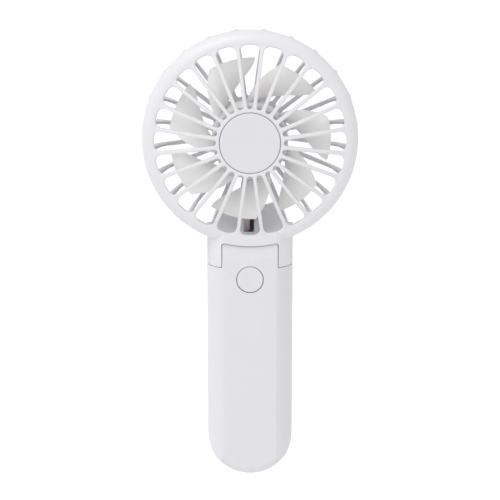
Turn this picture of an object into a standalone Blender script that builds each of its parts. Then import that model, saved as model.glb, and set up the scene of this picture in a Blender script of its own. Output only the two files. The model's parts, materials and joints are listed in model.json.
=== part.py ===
"""Handheld electric fan with a caged head on a folding neck.

Metres, +Z up.  The fan blows towards -Y and +X is to its right as seen from the front.
The origin is at the bottom centre of the whole fan's box: z = 0 is the tip of the handle.
"""

import math

import bmesh
import bpy
from mathutils import Matrix, Vector

# ---------------------------------------------------------------- driving dimensions
FRONT_Y = -0.0150          # front face of the centre disc
BACK_Y = 0.0150            # flat back of the basket and of the handle
GAP = 0.0003               # clearance between neighbouring pieces

# head
FAN_Z = 0.1630             # height of the fan's axis
RIM_R = 0.0500             # outer radius of the rim
SLOT_OUT_R = 0.0443        # outer end of the front slots
SLOT_IN_R = 0.0156         # inner end of the front slots
REAR_SLOT_IN_R = 0.0177    # inner end of the rear slots
SPOKES = 24
SPOKE_W = 0.00175
RIB_W = 0.0019
DISC_R = 0.01385
DOME_RISE = 0.0054         # how far the front grille falls back towards the rim
GRILLE_T = 0.0022
RIM_PART_Y = -0.0025       # parting plane between the two grilles
NECK_SKIN_T = 0.0020       # thickness of the neck's front where it covers the rim
RIM_BAND_Y = 0.0012        # back edge of the closed rim band
PANEL_R = 0.0352           # the wire panel's wide part starts here and reaches the rim

# impeller and motor
HUB_R = 0.0175
HUB_FRONT_Y = -0.0108
HUB_BACK_Y = 0.0030
BLADES = 7
BLADE_R = 0.0374
BLADE_T = 0.0012
MOTOR_R = 0.0122
MOTOR_FRONT_Y = -0.0034
MOTOR_BACK_Y = 0.0090
CAP_BACK_Y = 0.0106
SHAFT_R = 0.0010
CUP_IN_R = 0.0135
CUP_OUT_R = 0.0148

# handle and neck, one cross-section
BODY_Y = 0.0030            # middle of the handle's depth and its parting plane
BODY_HALF_D = 0.0120
SIDE_R = 0.01304           # radius of the handle's rounded sides
SIDE_X = 0.00726           # centre of that radius
BODY_HALF_W = SIDE_X + SIDE_R
WALL = 0.0017
END_BEVEL = 0.0045

# folding neck
HINGE_Y = 0.0070
HINGE_Z = 0.1065
LUG_R = 0.0080
EAR_X = 0.0133             # inner faces of the two ears
TONGUE_X = 0.0130
EAR_Z = 0.1040             # front underside of the ears
TONGUE_EASE = 0.0003       # how far the tongue's face falls back towards its upper seam
PIN_R = 0.0030
PIN_BORE_R = 0.0019
PIN_END_X = 0.0168
CHANNEL_X = 0.0187

# controls and power
BUTTON_Z = 0.0973
BUTTON_R = 0.00615
BUTTON_HOLE_R = 0.00645
CELL_R = 0.0091
CELL_LOW_Z = 0.0195
CELL_HIGH_Z = 0.0845
WIRE_R = 0.0005
SCREW_X = 0.0136
SCREW_ZS = (0.0280, 0.0880)
HEAD_SCREW = (0.0156, 0.0, 0.1122)
HEAD_SCREW_Y = 0.0096      # back end of the screws that join the two grilles

FACE_Y = BODY_Y - BODY_HALF_D     # front face of the handle and the neck


# ---------------------------------------------------------------- scene helpers
def clear_scene():
    for item in list(bpy.data.objects):
        bpy.data.objects.remove(item, do_unlink=True)


def make_collection(name):
    group = bpy.data.collections.new(name)
    bpy.context.scene.collection.children.link(group)
    return group


clear_scene()
PARTS = make_collection("handheld_fan")
CUTTERS = make_collection("cutters")


def make_material(name, colour, roughness, metallic=0.0):
    mat = bpy.data.materials.new(name)
    mat.use_nodes = True
    shader = mat.node_tree.nodes["Principled BSDF"]
    shader.inputs["Base Color"].default_value = (*colour, 1.0)
    shader.inputs["Roughness"].default_value = roughness
    shader.inputs["Metallic"].default_value = metallic
    mat.diffuse_color = (*colour, 1.0)
    return mat


WHITE = (0.86, 0.86, 0.88)
MATERIALS = {
    "shell_white": (WHITE, 0.45, 0.0),
    "grille_white": ((0.87, 0.87, 0.89), 0.45, 0.0),
    "disc_white": ((0.84, 0.84, 0.86), 0.5, 0.0),
    "blade_white": ((0.80, 0.80, 0.81), 0.55, 0.0),
    "button_white": ((0.86, 0.86, 0.88), 0.4, 0.0),
    "steel": ((0.62, 0.62, 0.64), 0.3, 1.0),
    "dark_steel": ((0.25, 0.25, 0.26), 0.4, 1.0),
    "bronze": ((0.62, 0.42, 0.22), 0.4, 1.0),
    "nickel": ((0.72, 0.70, 0.64), 0.28, 1.0),
    "board_green": ((0.05, 0.22, 0.11), 0.5, 0.0),
    "black_plastic": ((0.03, 0.03, 0.032), 0.5, 0.0),
    "ivory_plastic": ((0.78, 0.76, 0.70), 0.5, 0.0),
    "cell_wrap": ((0.08, 0.28, 0.52), 0.4, 0.0),
    "foam": ((0.06, 0.06, 0.065), 0.9, 0.0),
    "rubber": ((0.05, 0.05, 0.05), 0.8, 0.0),
    "red_sleeve": ((0.62, 0.03, 0.03), 0.45, 0.0),
    "black_sleeve": ((0.02, 0.02, 0.02), 0.45, 0.0),
}
MATS = {name: make_material(name, *values) for name, values in MATERIALS.items()}


def finish(obj, material):
    """Put a part in its collection with its material and smooth shading."""
    for group in list(obj.users_collection):
        group.objects.unlink(obj)
    if material is None:
        CUTTERS.objects.link(obj)
        obj.hide_render = True
        obj.display_type = "WIRE"
        return obj
    PARTS.objects.link(obj)
    obj.data.materials.clear()
    obj.data.materials.append(MATS[material])
    obj.data.shade_smooth()
    obj.data.set_sharp_from_angle(angle=math.radians(35))
    return obj


def mesh_from_curve(obj):
    """Turn a curve into a closed mesh object in the same place."""
    bpy.context.view_layer.update()
    graph = bpy.context.evaluated_depsgraph_get()
    mesh = bpy.data.meshes.new_from_object(obj.evaluated_get(graph))
    bm = bmesh.new()
    bm.from_mesh(mesh)
    bmesh.ops.remove_doubles(bm, verts=bm.verts, dist=1e-6)
    bmesh.ops.recalc_face_normals(bm, faces=bm.faces)
    bm.to_mesh(mesh)
    bm.free()
    result = bpy.data.objects.new(obj.name + "_solid", mesh)
    result.matrix_world = obj.matrix_world.copy()
    name = obj.name
    bpy.data.objects.remove(obj, do_unlink=True)
    result.name = name
    bpy.context.scene.collection.objects.link(result)
    return result


# A plate's outline is drawn in the two named directions and grows along the third.
PLANES = {
    "XY": Matrix.Identity(4),
    "XZ": Matrix.Rotation(math.radians(90), 4, "X"),
    "YZ": Matrix.Rotation(math.radians(90), 4, "Z") @ Matrix.Rotation(math.radians(90), 4, "X"),
}
NORMALS = {"XY": Vector((0, 0, 1)), "XZ": Vector((0, 1, 0)), "YZ": Vector((1, 0, 0))}


def plate(name, outline, plane, low, high, material=None):
    """A flat outline in a plane, filled from low to high along the plane's normal."""
    curve = bpy.data.curves.new(name, "CURVE")
    curve.dimensions = "2D"
    curve.fill_mode = "BOTH"
    curve.extrude = (high - low) / 2
    spline = curve.splines.new("POLY")
    spline.points.add(len(outline) - 1)
    for point, (a, b) in zip(spline.points, outline):
        point.co = (a, b, 0.0, 1.0)
    spline.use_cyclic_u = True
    obj = bpy.data.objects.new(name, curve)
    bpy.context.scene.collection.objects.link(obj)
    obj.matrix_world = Matrix.Translation(NORMALS[plane] * (low + high) / 2) @ PLANES[plane]
    return finish(mesh_from_curve(obj), material)


def box(name, low, high, material=None, bevel=0.0):
    """A block between two corners, with optional rounded edges."""
    bpy.ops.mesh.primitive_cube_add(size=1.0)
    obj = bpy.context.object
    obj.name = name
    size = Vector(high) - Vector(low)
    obj.data.transform(Matrix.Diagonal((*size, 1.0)))
    obj.location = (Vector(high) + Vector(low)) / 2
    if bevel:
        add_bevel(obj, bevel)
    return finish(obj, material)


def add_bevel(obj, width, segments=2, angle=40.0):
    mod = obj.modifiers.new("Bevel", "BEVEL")
    mod.width = width
    mod.segments = segments
    mod.limit_method = "ANGLE"
    mod.angle_limit = math.radians(angle)
    return mod


# A turned profile is (radius, height); its axis points to the front (-Y) or along +X or +Z.
AXES = {
    "front": Matrix.Rotation(math.radians(90), 4, "X"),
    "right": Matrix.Rotation(math.radians(90), 4, "Y"),
    "up": Matrix.Identity(4),
}


def turned(name, profile, centre, axis, steps, material=None, closed=False):
    """A profile turned about an axis through centre; heights grow along the axis."""
    mesh = bpy.data.meshes.new(name)
    edges = [(i, i + 1) for i in range(len(profile) - 1)]
    if closed:
        edges.append((len(profile) - 1, 0))
    mesh.from_pydata([(r, 0.0, h) for r, h in profile], edges, [])
    obj = bpy.data.objects.new(name, mesh)
    bpy.context.scene.collection.objects.link(obj)
    obj.matrix_world = Matrix.Translation(centre) @ AXES[axis]
    mod = obj.modifiers.new("Screw", "SCREW")
    mod.axis = "Z"
    mod.steps = steps
    mod.render_steps = steps
    mod.use_merge_vertices = True
    mod.merge_threshold = 0.00002
    return finish(obj, material)


def cylinder(name, radius, low, high, centre, axis, steps=32, material=None):
    profile = [(0.0, high), (radius, high), (radius, low), (0.0, low)]
    return turned(name, profile, centre, axis, steps, material)


def tube(name, outer, inner, low, high, centre, axis, steps=32, material=None):
    profile = [(outer, high), (outer, low), (inner, low), (inner, high)]
    return turned(name, profile, centre, axis, steps, material, closed=True)


def combine(target, other, operation="DIFFERENCE"):
    mod = target.modifiers.new(operation.title(), "BOOLEAN")
    mod.operation = operation
    mod.object = other
    mod.solver = "EXACT"
    return target


def tidy(obj):
    """Merge the doubled corners that cuts leave where edges cross."""
    mod = obj.modifiers.new("Weld", "WELD")
    mod.merge_threshold = 0.00001
    return obj


def arc(centre, radius, start, end, count):
    """Points on an arc, angles in degrees from the first direction."""
    points = []
    for i in range(count + 1):
        t = math.radians(start + (end - start) * i / count)
        points.append((centre[0] + radius * math.cos(t), centre[1] + radius * math.sin(t)))
    return points


def joint_empty(name, place):
    empty = bpy.data.objects.new(name, None)
    empty.location = place
    empty.empty_display_size = 0.01
    PARTS.objects.link(empty)
    return empty


def carry(parent, *children):
    """Parent pieces to a joint's empty without moving them."""
    bpy.context.view_layer.update()
    for child in children:
        child.parent = parent
        child.matrix_parent_inverse = parent.matrix_world.inverted()


FAN = Vector((0.0, 0.0, FAN_Z))
HINGE = Vector((0.0, HINGE_Y, HINGE_Z))


# ---------------------------------------------------------------- shared outlines
def body_section(inset=0.0, side_steps=6):
    """Cross-section of handle and neck in XY: flat front and back, rounded sides."""
    radius = SIDE_R - inset
    half = math.degrees(math.asin((BODY_HALF_D - inset) / radius))
    right = arc((SIDE_X, BODY_Y), radius, -half, half, side_steps)
    left = [(-x, y) for x, y in reversed(right)]
    return right + left


def handle_outline(inset=0.0, top=0.120):
    """Front view outline: straight sides and a half-round lower end."""
    radius = BODY_HALF_W - inset
    end = arc((0.0, BODY_HALF_W), radius, 180, 360, 16)
    return end + [(radius, top), (-radius, top)]


def slot_outline(inner_r, outer_r, spoke_w, corner_r, turn):
    """One wedge-shaped slot between two spokes, turned clockwise from the top."""
    half_step = math.pi / SPOKES
    slope = math.tan(half_step)
    offset = spoke_w / 2 / math.cos(half_step)

    def half_width(radius):
        return radius * slope - offset

    end_r = half_width(inner_r) * 1.02
    points = arc((0.0, inner_r + end_r), end_r, 360, 180, 3)
    wide = half_width(outer_r - corner_r)
    points += arc((-wide + corner_r, outer_r - corner_r), corner_r, 180, 100, 2)
    points += arc((wide - corner_r, outer_r - corner_r), corner_r, 80, 0, 2)
    t = math.radians(-turn)
    return [(x * math.cos(t) - z * math.sin(t), FAN_Z + x * math.sin(t) + z * math.cos(t))
            for x, z in points]


def rim_chord(radius, half_width, floor_z, count=10):
    """Outline below an arc about the fan's axis, between two walls, in XZ."""
    half = math.degrees(math.asin(half_width / radius))
    top = arc((0.0, FAN_Z), radius, 270 - half, 270 + half, count)
    return top + [(half_width, floor_z), (-half_width, floor_z)]


# ---------------------------------------------------------------- head
def dome_y(radius):
    start = DISC_R + GAP
    return FRONT_Y + 0.0001 + DOME_RISE * ((radius - start) / (SLOT_OUT_R - start)) ** 2


def slot_cutter(prefix, index, outline_sizes, low, high):
    """Cutter for one slot; the sizes are inner and outer radius, bar width and corner radius."""
    outline = slot_outline(*outline_sizes, 360.0 * index / SPOKES)
    return plate(f"{prefix}_{index}", outline, "XZ", low, high)


def head_screw_place(side):
    x, y, z = HEAD_SCREW
    return (side * x, y, z)


def swell_front(obj, start_z, end_z, front_y):
    """Bring the front of a body-section prism forward to front_y between two heights."""
    bm = bmesh.new()
    bm.from_mesh(obj.data)
    for z in (start_z, end_z):
        geometry = bm.verts[:] + bm.edges[:] + bm.faces[:]
        bmesh.ops.bisect_plane(bm, geom=geometry, plane_co=(0, 0, z), plane_no=(0, 0, 1))
    growth = (front_y - BODY_Y) / (FACE_Y - BODY_Y)
    for vert in bm.verts:
        if vert.co.z > end_z - 0.0001 and vert.co.y < BODY_Y:
            vert.co.y = BODY_Y + (vert.co.y - BODY_Y) * growth
    bm.to_mesh(obj.data)
    bm.free()


def front_neck_block():
    """The neck's front half with the front of both ears."""
    block = plate("front_neck", body_section(), "XY", EAR_Z, FAN_Z - 0.040)
    swell_front(block, FAN_Z - RIM_R, FAN_Z - SLOT_OUT_R, dome_y(SLOT_OUT_R))
    front = box("front_neck_keep", (-0.03, -0.02, 0.09), (0.03, RIM_PART_Y - GAP / 2, 0.13))
    combine(block, front, "INTERSECT")
    skin_y = dome_y(SLOT_OUT_R) + NECK_SKIN_T
    combine(block, cylinder("front_neck_round", 0.0475, -0.02, -skin_y, FAN, "front", 64))
    combine(block, cylinder("front_neck_top", SLOT_OUT_R, -0.02, 0.02, FAN, "front", 72))
    pocket = plate("front_pocket", rim_chord(RIM_R, EAR_X, 0.09), "XZ", -0.02, 0.02)
    combine(block, pocket)
    return block


def front_grille():
    """Rim, domed spokes and centre ring, with the front of the neck."""
    ring_r = DISC_R + GAP
    floor_y = FRONT_Y + 0.0013
    dome_rs = (0.0152, 0.0300, SLOT_OUT_R)
    profile = [(0.0, floor_y), (ring_r, floor_y), (ring_r, FRONT_Y + 0.0003)]
    profile += [(r, dome_y(r)) for r in dome_rs]
    rim_y = -0.0040
    for step in range(1, 4):
        t = math.radians(90 * step / 3)
        reach = RIM_R - SLOT_OUT_R
        fall = rim_y - dome_y(SLOT_OUT_R)
        profile.append((SLOT_OUT_R + reach * math.sin(t), rim_y - fall * math.cos(t)))
    part_y = RIM_PART_Y - GAP / 2
    inner_r = SLOT_OUT_R + 0.001
    profile += [(RIM_R, part_y), (inner_r, part_y), (inner_r, dome_y(SLOT_OUT_R) + GRILLE_T)]
    profile += [(r, dome_y(r) + GRILLE_T) for r in reversed(dome_rs[:-1])]
    profile.append((0.0, floor_y + 0.0014))
    part = turned("front_grille", [(r, -y) for r, y in profile], FAN, "front", 72, "grille_white")
    combine(part, front_neck_block(), "UNION")
    sizes = (SLOT_IN_R, SLOT_OUT_R, SPOKE_W, 0.0026)
    for index in range(SPOKES):
        combine(part, slot_cutter("front_slot", index, sizes, -0.02, -0.003))
    for side in (-1, 1):
        bore = cylinder(f"front_screw_bore_{side}", 0.00105, 0.0, 0.0052, head_screw_place(side), "front", 12)
        combine(part, bore)
    return tidy(part)


def rear_neck_block():
    """The neck's back half: two round-ended ears around a pocket for the tongue."""
    block = plate("rear_neck", body_section(), "XY", 0.0970, FAN_Z - 0.040)
    half_z = math.sqrt(LUG_R ** 2 - (HINGE_Z - EAR_Z) ** 2)
    start = math.degrees(math.atan2(EAR_Z - HINGE_Z, -half_z)) % 360
    side = [(-0.0200, 0.130), (-0.0200, EAR_Z)]
    side += arc((HINGE_Y, HINGE_Z), LUG_R, start, 360, 14)
    side += [(BACK_Y + 0.001, HINGE_Z), (BACK_Y + 0.001, 0.130)]
    combine(block, plate("ear_shape", side, "YZ", -0.03, 0.03), "INTERSECT")
    back = box("rear_neck_keep", (-0.03, RIM_PART_Y + GAP / 2, 0.09), (0.03, 0.02, 0.13))
    combine(block, back, "INTERSECT")
    inside = cylinder("rear_neck_round", 0.0460, -0.0127, 0.02, FAN, "front", 64)
    combine(block, inside)
    combine(block, plate("rear_pocket", rim_chord(RIM_R, EAR_X, 0.09), "XZ", -0.02, 0.02))
    return block


def rear_grille():
    """Basket of ribs, motor cup, wire panel and the back of the neck with its ears."""
    floor_y = BACK_Y - 0.0025
    part_y = RIM_PART_Y + GAP / 2
    profile = [(0.0, floor_y)]
    for step in range(4):
        t = math.radians(90 - 90 * step / 3)
        profile.append((0.0355 + 0.0102 * math.cos(t), 0.0125 * math.sin(t)))
    profile += [(0.0457, part_y), (RIM_R, part_y), (RIM_R, 0.0006), (0.0504, 0.0018)]
    for step in range(4):
        t = math.radians(90 * step / 3)
        profile.append((0.0405 + 0.0100 * math.cos(t), 0.0040 + 0.0110 * math.sin(t)))
    profile.append((0.0, BACK_Y))
    part = turned("rear_grille", [(r, -y) for r, y in profile], FAN, "front", 72, "shell_white")
    combine(part, rear_neck_block(), "UNION")
    cup = tube("motor_cup", CUP_OUT_R, CUP_IN_R, -floor_y - 0.0005, -0.0015, FAN, "front", 34)
    combine(part, cup, "UNION")
    bottom = SPOKES // 2
    for index in range(SPOKES):
        if index == bottom:
            continue
        outer_r = PANEL_R if abs(index - bottom) == 1 else 0.0560
        sizes = (REAR_SLOT_IN_R, outer_r, RIB_W, 0.0012)
        combine(part, slot_cutter("rear_slot", index, sizes, RIM_BAND_Y, 0.017))
    room_z = FAN_Z - RIM_R
    near_x = EAR_X - 0.0001
    combine(part, box("barrel_gap", (-near_x, 0.0015, 0.09), (near_x, 0.02, HINGE_Z + LUG_R + GAP)))
    combine(part, plate("wire_room", rim_chord(0.0467, 0.0128, 0.11), "XZ", 0.0024, 0.0128))
    combine(part, box("wire_window", (-0.0030, 0.0030, room_z), (0.0020, 0.0110, 0.1228)))
    combine(part, box("cup_notch", (-0.0040, 0.0080, FAN_Z - 0.016), (0.0040, 0.0122, FAN_Z - 0.012)))
    for side in (-1, 1):
        bore = cylinder(f"ear_bore_{side}", PIN_R + 0.00003, 0.0, side * 0.0169, HINGE, "right")
        if side < 0:
            bore = cylinder("ear_bore_left", PIN_R + 0.00003, -0.0169, 0.0, HINGE, "right")
        combine(part, bore)
        place = head_screw_place(side)
        combine(part, cylinder(f"rear_screw_bore_{side}", 0.00105, -0.0125, 0.004, place, "front", 16))
        seat_y = HEAD_SCREW_Y - 0.0001
        combine(part, cylinder(f"rear_screw_seat_{side}", 0.0021, -0.016, -seat_y, place, "front", 20))
    combine(part, box("ear_channel", (-CHANNEL_X, 0.0045, 0.1052), (-0.0168, 0.0080, 0.1174)))
    combine(part, box("ear_crossing", (-0.0185, 0.0047, 0.1156), (-0.0125, 0.0078, 0.1174)))
    return tidy(part)


def wire_cover():
    """Hood that hides the leads on the panel, open at both ends."""
    top_z, low_z, front_y, back_y = 0.1476, 0.1234, 0.0091, 0.0123
    half_top, half_low = 0.0024, 0.0046
    face = [(-half_low, low_z), (half_low, low_z), (half_top, top_z), (-half_top, top_z)]
    part = plate("wire_cover", face, "XZ", front_y, back_y, "shell_white")
    heel = [(0.0107, low_z - 0.001), (0.0107, low_z), (0.0118, 0.1259), (back_y, 0.1274),
            (0.0140, 0.1274), (0.0140, low_z - 0.001)]
    combine(part, plate("cover_heel", heel, "YZ", -0.01, 0.01))
    combine(part, box("cover_channel", (-0.0018, 0.0100, low_z - 0.002), (0.0018, 0.0140, top_z + 0.001)))
    return tidy(part)


def centre_disc():
    profile = [(0.0, 0.00105), (DISC_R - 0.0004, 0.00105), (DISC_R, 0.00075), (DISC_R, 0.0), (0.0, 0.0)]
    centre = (0.0, FRONT_Y + 0.00105, FAN_Z)
    return turned("centre_disc", profile, centre, "front", 48, "disc_white")


# ---------------------------------------------------------------- impeller and motor
def blade_edges(radius):
    """Clockwise angles in degrees of a blade's trailing and leading edges."""
    t = (radius - HUB_R) / (BLADE_R - HUB_R)
    trailing = -6.0 + 27.5 * t
    leading = 13.0 + 42.0 * (1.0 - max(0.0, 1.0 - t) ** 2)
    return trailing, leading


def blade_surface(name, turn):
    """One swept and twisted blade as an open grid, thickened by Solidify."""
    rows, columns = 5, 4
    mesh = bpy.data.meshes.new(name)
    vertices = []
    for i in range(rows):
        radius = (HUB_R - 0.0006) + (BLADE_R - HUB_R + 0.0006) * i / (rows - 1)
        trailing, leading = blade_edges(max(radius, HUB_R))
        reach = 0.0094 - 0.0030 * i / (rows - 1)
        for j in range(columns):
            s = j / (columns - 1)
            angle = math.radians(turn + trailing + (leading - trailing) * s)
            y = -0.0022 + reach * (s - 0.5) - 0.0012 * math.sin(math.pi * s)
            vertices.append((radius * math.sin(angle), y, FAN_Z + radius * math.cos(angle)))
    faces = []
    for i in range(rows - 1):
        for j in range(columns - 1):
            a = i * columns + j
            faces.append((a, a + 1, a + columns + 1, a + columns))
    mesh.from_pydata(vertices, [], faces)
    obj = bpy.data.objects.new(name, mesh)
    bpy.context.scene.collection.objects.link(obj)
    mod = obj.modifiers.new("Solidify", "SOLIDIFY")
    mod.thickness = BLADE_T
    mod.offset = 0.0
    return finish(obj, None)


def impeller():
    """Hub cup with a pressed-on boss and seven blades."""
    wall = 0.0012
    front, back = -HUB_FRONT_Y, -HUB_BACK_Y
    profile = [(0.0, front), (HUB_R - 0.0016, front), (HUB_R - 0.0005, front - 0.0005),
               (HUB_R, front - 0.0016), (HUB_R, back), (HUB_R - wall, back),
               (HUB_R - wall, front - 0.0014), (0.0030, front - 0.0014), (0.0028, 0.0052),
               (SHAFT_R + 0.00005, 0.0052), (SHAFT_R + 0.00005, 0.0092), (0.0, 0.0092)]
    part = turned("impeller", profile, FAN, "front", 42, "blade_white")
    for index in range(BLADES):
        combine(part, blade_surface(f"blade_{index}", 360.0 * index / BLADES), "UNION")
    return tidy(part)


def motor():
    """Brushed motor: can, end cap, bushes, sleeve, rotor and shaft."""
    front, back = -MOTOR_FRONT_Y, -MOTOR_BACK_Y
    can = [(0.0017, front), (MOTOR_R - 0.0008, front), (MOTOR_R, front - 0.0008), (MOTOR_R, back),
           (MOTOR_R - 0.0008, back), (MOTOR_R - 0.0008, front - 0.0010), (0.0017, front - 0.0010)]
    turned("motor_can", can, FAN, "front", 32, "nickel", closed=True)
    cap_front, cap_back = back - 0.0002, -CAP_BACK_Y
    cap = [(0.0021, cap_front), (MOTOR_R - 0.0002, cap_front), (MOTOR_R - 0.0002, cap_back), (0.0021, cap_back)]
    turned("motor_cap", cap, FAN, "front", 32, "black_plastic", closed=True)
    tube("front_bush", 0.0016, SHAFT_R + 0.00005, front - 0.0013, front + 0.0009, FAN, "front", 16, "bronze")
    tube("rear_bush", 0.0020, SHAFT_R + 0.00005, cap_back, cap_front, FAN, "front", 16, "bronze")
    tube("motor_sleeve", CUP_IN_R - 0.0001, MOTOR_R + 0.0001, back, -0.0015, FAN, "front", 32, "rubber")
    rotor = tube("motor_rotor", 0.0098, SHAFT_R + 0.00005, back + 0.0014, front - 0.0026, FAN, "front",
                 24, "dark_steel")
    tube("motor_magnet", MOTOR_R - 0.0010, 0.0102, back + 0.0006, front - 0.0016, FAN, "front",
         24, "dark_steel")
    shaft = cylinder("motor_shaft", SHAFT_R, -0.0104, 0.0088, FAN, "front", 20, "steel")
    return rotor, shaft


# ---------------------------------------------------------------- handle
def handle_solid(name, low_y, high_y, material):
    """One half of the hollow handle with its half of the hinge tongue."""
    part = plate(name, body_section(), "XY", 0.0, 0.1180, material)
    outline = plate(f"{name}_outline", handle_outline(), "XZ", FACE_Y, BACK_Y)
    add_bevel(outline, END_BEVEL, 3)
    combine(part, outline, "INTERSECT")
    combine(part, box(f"{name}_half", (-0.03, low_y, -0.01), (0.03, high_y, 0.13)), "INTERSECT")
    seat_y = HINGE_Y - math.sqrt((LUG_R + GAP) ** 2 - (HINGE_Z - EAR_Z + GAP) ** 2)
    start = math.degrees(math.atan2(EAR_Z - GAP - HINGE_Z, seat_y - HINGE_Y)) % 360
    seat = [(-0.02, 0.13), (-0.02, EAR_Z - GAP)]
    seat += arc((HINGE_Y, HINGE_Z), LUG_R + GAP, start, 270, 10)
    seat += [(0.03, HINGE_Z - LUG_R - GAP), (0.03, 0.13)]
    for side in (-1, 1):
        low, high = sorted((side * TONGUE_X, side * 0.03))
        combine(part, plate(f"{name}_seat_{side}", seat, "YZ", low, high))
    crest_y = 0.0010
    lip = cylinder(f"{name}_lip", RIM_R + GAP, -crest_y, 0.03, FAN, "front", 120)
    combine(part, lip)
    rise = math.degrees(math.asin((crest_y - HINGE_Y) / LUG_R))
    over = [(crest_y, 0.13)] + arc((HINGE_Y, HINGE_Z), LUG_R, 90 - rise, 0, 14)
    over += [(0.03, HINGE_Z), (0.03, 0.13)]
    combine(part, plate(f"{name}_over", over, "YZ", -0.03, 0.03))
    ease = [(-0.012, 0.1070), (FACE_Y, 0.1070), (FACE_Y + TONGUE_EASE, 0.1135),
            (FACE_Y + TONGUE_EASE, 0.1180), (-0.012, 0.1180)]
    combine(part, plate(f"{name}_ease", ease, "YZ", -0.02, 0.02))
    return part


def hollow_handle(part):
    """Cut the cavity for the cell and boards, and the one inside the tongue."""
    name = part.name
    cavity = plate(f"{name}_cavity", body_section(WALL, 6), "XY", -0.001, 0.0965)
    inner = plate(f"{name}_inner", handle_outline(WALL), "XZ", FACE_Y + WALL, BACK_Y - WALL)
    add_bevel(inner, END_BEVEL - WALL, 2)
    combine(cavity, inner, "INTERSECT")
    combine(part, cavity)
    low, high = (-0.0113, FACE_Y + WALL, 0.0950), (0.0113, BACK_Y - WALL, HINGE_Z)
    combine(part, box(f"{name}_root_room", low, high))
    low, high = (-0.0113, FACE_Y + WALL, 0.1000), (0.0113, BODY_Y, 0.1105)
    combine(part, box(f"{name}_lip_room", low, high))
    combine(part, cylinder(f"{name}_barrel_room", LUG_R - WALL, -0.0113, 0.0113, HINGE, "right", 24))
    return part


def front_shell():
    part = handle_solid("front_shell", -0.02, BODY_Y - GAP / 2, "shell_white")
    hollow_handle(part)
    centre = (0.0, 0.0, BUTTON_Z)
    combine(part, cylinder("button_hole", BUTTON_HOLE_R, 0.006, 0.012, centre, "front", 32))
    for side in (-1, 1):
        for level, z in enumerate(SCREW_ZS):
            place = (side * SCREW_X, 0.0, z)
            boss = cylinder(f"front_boss_{level}_{side}", 0.0024, -BODY_Y + GAP / 2, 0.0062, place, "front", 20)
            combine(part, boss, "UNION")
            bore = cylinder(f"front_thread_{level}_{side}", 0.0009, -0.01, 0.0035, place, "front", 12)
            combine(part, bore)
    combine(part, usb_opening("front"))
    return tidy(part)


def rear_shell():
    part = handle_solid("rear_shell", BODY_Y + GAP / 2, 0.02, "shell_white")
    hollow_handle(part)
    for side in (-1, 1):
        for level, z in enumerate(SCREW_ZS):
            place = (side * SCREW_X, 0.0, z)
            boss = cylinder(f"rear_boss_{level}_{side}", 0.0026, -0.0120, -BODY_Y - GAP / 2, place, "front", 20)
            combine(part, boss, "UNION")
            combine(part, cylinder(f"rear_pass_{level}_{side}", 0.0013, -0.02, 0.0, place, "front", 16))
            combine(part, cylinder(f"rear_seat_{level}_{side}", 0.0021, -0.02, -0.0110, place, "front", 20))
    combine(part, cylinder("pin_bore", PIN_R + 0.00005, -0.0135, 0.0135, HINGE, "right", 32))
    combine(part, usb_opening("rear"))
    return tidy(part)


def usb_opening(label):
    return box(f"usb_opening_{label}", (-0.0047, BODY_Y - 0.0019, -0.002),
               (0.0047, BODY_Y + 0.0019, 0.0030), bevel=0.0012)


def screw(name, place, head_y, tip_y, head_r=0.0019, shank_r=0.00085):
    """Pan-head screw driven from the back: head at head_y, tip towards the front."""
    head = -head_y
    profile = [(0.0, -tip_y), (shank_r * 0.5, -tip_y), (shank_r, -tip_y - 0.0006), (shank_r, head),
               (head_r, head), (head_r, head - 0.0007), (head_r * 0.6, head - 0.0013), (0.0, head - 0.0013)]
    return turned(name, profile, place, "front", 12, "steel")


def hinge_parts():
    """Hollow pins fixed in the ears, turning in the tongue, with a friction washer each."""
    pins = []
    for side, label in ((-1, "left"), (1, "right")):
        head_in, head_out = 0.0084, 0.0092
        outline = [(PIN_BORE_R, head_in), (0.0046, head_in), (0.0046, head_out), (PIN_R, head_out),
                   (PIN_R, PIN_END_X), (PIN_BORE_R, PIN_END_X)]
        profile = [(r, side * x) for r, x in outline]
        if side > 0:
            profile.reverse()
        pins.append(turned(f"hinge_pin_{label}", profile, HINGE, "right", 24, "steel", closed=True))
        low, high = sorted((side * 0.0094, side * 0.0111))
        tube(f"friction_washer_{label}", 0.0056, PIN_R + 0.0002, low, high, HINGE, "right", 24, "ivory_plastic")
    return pins


# ---------------------------------------------------------------- button, boards and cell
def power_button():
    """Round cap with a flange behind the shell and a stem over the switch."""
    profile = [(0.0, -FACE_Y), (BUTTON_R - 0.0004, -FACE_Y), (BUTTON_R, -FACE_Y - 0.0004), (BUTTON_R, 0.0070),
               (0.0072, 0.0070), (0.0072, 0.0062), (0.0014, 0.0062), (0.0014, 0.0054), (0.0, 0.0054)]
    return turned("power_button", profile, (0.0, 0.0, BUTTON_Z), "front", 32, "button_white")


def control_electronics():
    """Circuit board and tact switch behind the button."""
    box("circuit_board", (-0.0100, -0.0010, 0.0880), (0.0100, 0.0002, 0.1035), "board_green")
    body = box("switch_body", (-0.0030, -0.0044, BUTTON_Z - 0.0030), (0.0030, -0.0013, BUTTON_Z + 0.0030),
               "black_plastic")
    centre = (0.0, 0.0, BUTTON_Z)
    combine(body, cylinder("switch_well", 0.00175, 0.0022, 0.0060, centre, "front", 16))
    plunger = cylinder("switch_plunger", 0.0016, 0.0034, 0.0051, centre, "front", 16, "black_plastic")
    for side, label in ((-1, "left"), (1, "right")):
        x = side * 0.0070
        box(f"board_chip_{label}", (x - 0.0020, -0.0030, 0.0905), (x + 0.0020, -0.0013, 0.0945),
            "black_plastic")
    return plunger


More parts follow.
